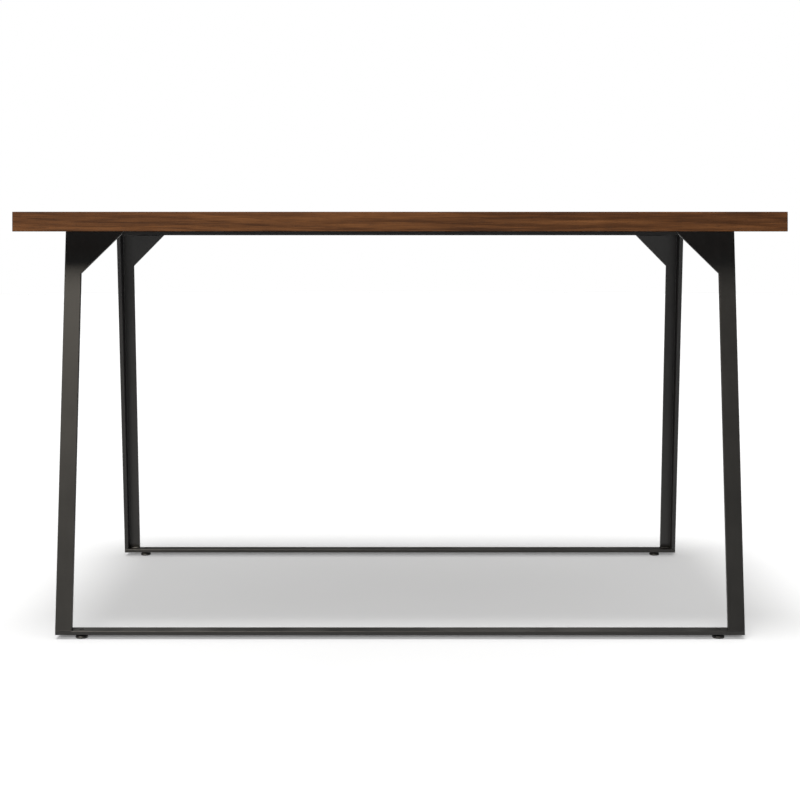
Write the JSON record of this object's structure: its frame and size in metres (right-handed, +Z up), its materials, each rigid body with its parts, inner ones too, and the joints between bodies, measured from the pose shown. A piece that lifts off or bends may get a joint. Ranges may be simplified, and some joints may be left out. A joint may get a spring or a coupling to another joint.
{
  "type": "table",
  "caption": "Rectangular table with a thick butcher block top on two splayed black steel frames, with corner gussets and levelling feet.",
  "frame": {"origin": "on the floor, under the centre of the top", "axes": "+X along the length, -Y towards the front, +Z up"},
  "size_m": [1.3716, 0.762, 0.762],
  "materials": {
    "wood": "satin walnut stain and oil",
    "coated_steel": "fine-textured black powder coat, low gloss",
    "screw_steel": "black oxide",
    "insert_zinc": "zinc plated",
    "pad_plastic": "moulded black nylon"
  },
  "bodies": {
    "table": {"top_stave_01": "wood", "top_stave_02": "wood", "top_stave_03": "wood", "top_stave_04": "wood", "top_stave_05": "wood", "top_stave_06": "wood", "top_stave_07": "wood", "top_stave_08": "wood", "top_stave_09": "wood", "top_stave_10": "wood", "top_stave_11": "wood", "top_stave_12": "wood", "top_stave_13": "wood", "top_stave_14": "wood", "top_stave_15": "wood", "front_left_leg": "coated_steel", "front_left_gusset": "coated_steel", "front_right_leg": "coated_steel", "front_right_gusset": "coated_steel", "front_bottom_bar": "coated_steel", "front_top_bar": "coated_steel", "front_mounting_screw_1": "screw_steel", "front_threaded_insert_1": "insert_zinc", "front_mounting_screw_2": "screw_steel", "front_threaded_insert_2": "insert_zinc", "front_mounting_screw_3": "screw_steel", "front_threaded_insert_3": "insert_zinc", "front_mounting_screw_4": "screw_steel", "front_threaded_insert_4": "insert_zinc", "front_mounting_screw_5": "screw_steel", "front_threaded_insert_5": "insert_zinc", "back_left_leg": "coated_steel", "back_left_gusset": "coated_steel", "back_right_leg": "coated_steel", "back_right_gusset": "coated_steel", "back_bottom_bar": "coated_steel", "back_top_bar": "coated_steel", "back_mounting_screw_1": "screw_steel", "back_threaded_insert_1": "insert_zinc", "back_mounting_screw_2": "screw_steel", "back_threaded_insert_2": "insert_zinc", "back_mounting_screw_3": "screw_steel", "back_threaded_insert_3": "insert_zinc", "back_mounting_screw_4": "screw_steel", "back_threaded_insert_4": "insert_zinc", "back_mounting_screw_5": "screw_steel", "back_threaded_insert_5": "insert_zinc"},
    "front_left_foot": {"front_left_foot_pad": "pad_plastic"},
    "front_left_stud": {"front_left_foot_stud": "screw_steel"},
    "front_right_foot": {"front_right_foot_pad": "pad_plastic"},
    "front_right_stud": {"front_right_foot_stud": "screw_steel"},
    "back_left_foot": {"back_left_foot_pad": "pad_plastic"},
    "back_left_stud": {"back_left_foot_stud": "screw_steel"},
    "back_right_foot": {"back_right_foot_pad": "pad_plastic"},
    "back_right_stud": {"back_right_foot_stud": "screw_steel"}
  },
  "joints": [
    {"name": "front_left_foot_travel", "type": "slide", "parent": "table", "child": "front_left_foot", "axis": [0, 0, -1], "range_m": [0, 0.003]},
    {"name": "front_left_stud_turn", "type": "hinge", "parent": "front_left_foot", "child": "front_left_stud", "pos_m": [-0.57, -0.3451, 0.0075], "axis": [0, 0, -1], "range_deg": [0, 864]},
    {"name": "front_right_foot_travel", "type": "slide", "parent": "table", "child": "front_right_foot", "axis": [0, 0, -1], "range_m": [0, 0.003]},
    {"name": "front_right_stud_turn", "type": "hinge", "parent": "front_right_foot", "child": "front_right_stud", "pos_m": [0.57, -0.3451, 0.0075], "axis": [0, 0, -1], "range_deg": [0, 864]},
    {"name": "back_left_foot_travel", "type": "slide", "parent": "table", "child": "back_left_foot", "axis": [0, 0, -1], "range_m": [0, 0.003]},
    {"name": "back_left_stud_turn", "type": "hinge", "parent": "back_left_foot", "child": "back_left_stud", "pos_m": [-0.57, 0.3451, 0.0075], "axis": [0, 0, -1], "range_deg": [0, 864]},
    {"name": "back_right_foot_travel", "type": "slide", "parent": "table", "child": "back_right_foot", "axis": [0, 0, -1], "range_m": [0, 0.003]},
    {"name": "back_right_stud_turn", "type": "hinge", "parent": "back_right_foot", "child": "back_right_stud", "pos_m": [0.57, 0.3451, 0.0075], "axis": [0, 0, -1], "range_deg": [0, 864]}
  ],
  "couplings": [
    {"joint": "front_left_stud_turn", "follows": "front_left_foot_travel", "rad_per_m": 5026.5},
    {"joint": "front_right_stud_turn", "follows": "front_right_foot_travel", "rad_per_m": 5026.5},
    {"joint": "back_left_stud_turn", "follows": "back_left_foot_travel", "rad_per_m": 5026.5},
    {"joint": "back_right_stud_turn", "follows": "back_right_foot_travel", "rad_per_m": 5026.5}
  ]
}
